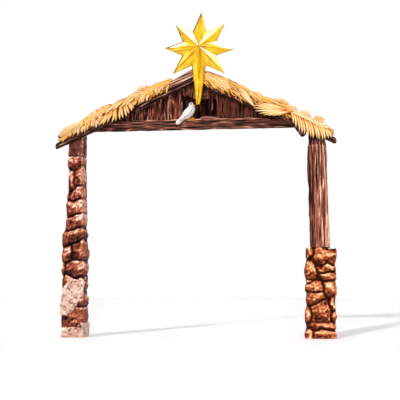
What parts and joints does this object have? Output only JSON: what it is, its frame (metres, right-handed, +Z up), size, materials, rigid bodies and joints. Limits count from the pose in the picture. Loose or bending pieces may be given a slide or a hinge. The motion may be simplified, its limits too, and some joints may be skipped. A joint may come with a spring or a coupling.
{
  "type": "nativity stable",
  "caption": "Gabled nativity stable front: stone pillar and log post under a thatched roof, with a dove before the loft and a pull-off star on the ridge.",
  "frame": {"origin": "middle of the bounding box, on the floor the two feet stand on", "axes": "+X along the front to the log post, -Y out of the front, +Z up"},
  "size_m": [0.374, 0.0566, 0.4295],
  "materials": {
    "dark_timber": "dark stain, dry-brushed",
    "roof_board": "rough sawn",
    "bark": "rough bark",
    "left_stone": "painted stone",
    "right_stone": "painted stone",
    "mortar": "dark mortar",
    "plaster": "rough plaster",
    "straw": "dry straw",
    "gold_paint": "gold paint",
    "steel": "plain",
    "white_paint": "white paint",
    "orange_paint": "ochre paint"
  },
  "bodies": {
    "stable": {"back_boards": "dark_timber", "back_fringe": "straw", "barge_pegs": "dark_timber", "dove_beak": "orange_paint", "dove_body": "white_paint", "dove_feet": "orange_paint", "dove_wings": "white_paint", "front_boards_left": "dark_timber", "front_boards_right": "dark_timber", "left_barge_log": "dark_timber", "left_cap_block": "left_stone", "left_cap_dowel": "dark_timber", "left_course_01": "left_stone", "left_course_02": "left_stone", "left_course_03": "left_stone", "left_course_04": "left_stone", "left_course_05": "left_stone", "left_course_06": "left_stone", "left_course_07": "left_stone", "left_course_08": "left_stone", "left_course_09": "left_stone", "left_course_10": "left_stone", "left_course_11": "left_stone", "left_deck_plank_1": "roof_board", "left_deck_plank_2": "roof_board", "left_deck_plank_3": "roof_board", "left_footing": "plaster", "left_fringe": "straw", "left_pillar_core": "mortar", "left_sheaf_1": "straw", "left_sheaf_2": "straw", "left_sheaf_3": "straw", "loft_stubs": "dark_timber", "log_post": "bark", "palm_frond_lower": "straw", "palm_frond_upper": "straw", "plaster_patch": "plaster", "ridge_block": "dark_timber", "right_barge_log": "dark_timber", "right_base_core": "mortar", "right_corbel": "dark_timber", "right_course_01": "right_stone", "right_course_02": "right_stone", "right_course_03": "right_stone", "right_course_04": "right_stone", "right_course_05": "right_stone", "right_course_06": "right_stone", "right_course_07": "right_stone", "right_course_08": "right_stone", "right_deck_plank_1": "roof_board", "right_deck_plank_2": "roof_board", "right_deck_plank_3": "roof_board", "right_fringe": "straw", "right_sheaf_1": "straw", "right_sheaf_2": "straw", "right_sheaf_3": "straw", "tie_beam": "dark_timber"},
    "star": {"star_body": "gold_paint", "star_pins": "steel"}
  },
  "joints": [
    {"name": "star_pull", "type": "slide", "parent": "stable", "child": "star", "axis": [0, -1, 0], "range_m": [0, 0.025]}
  ]
}
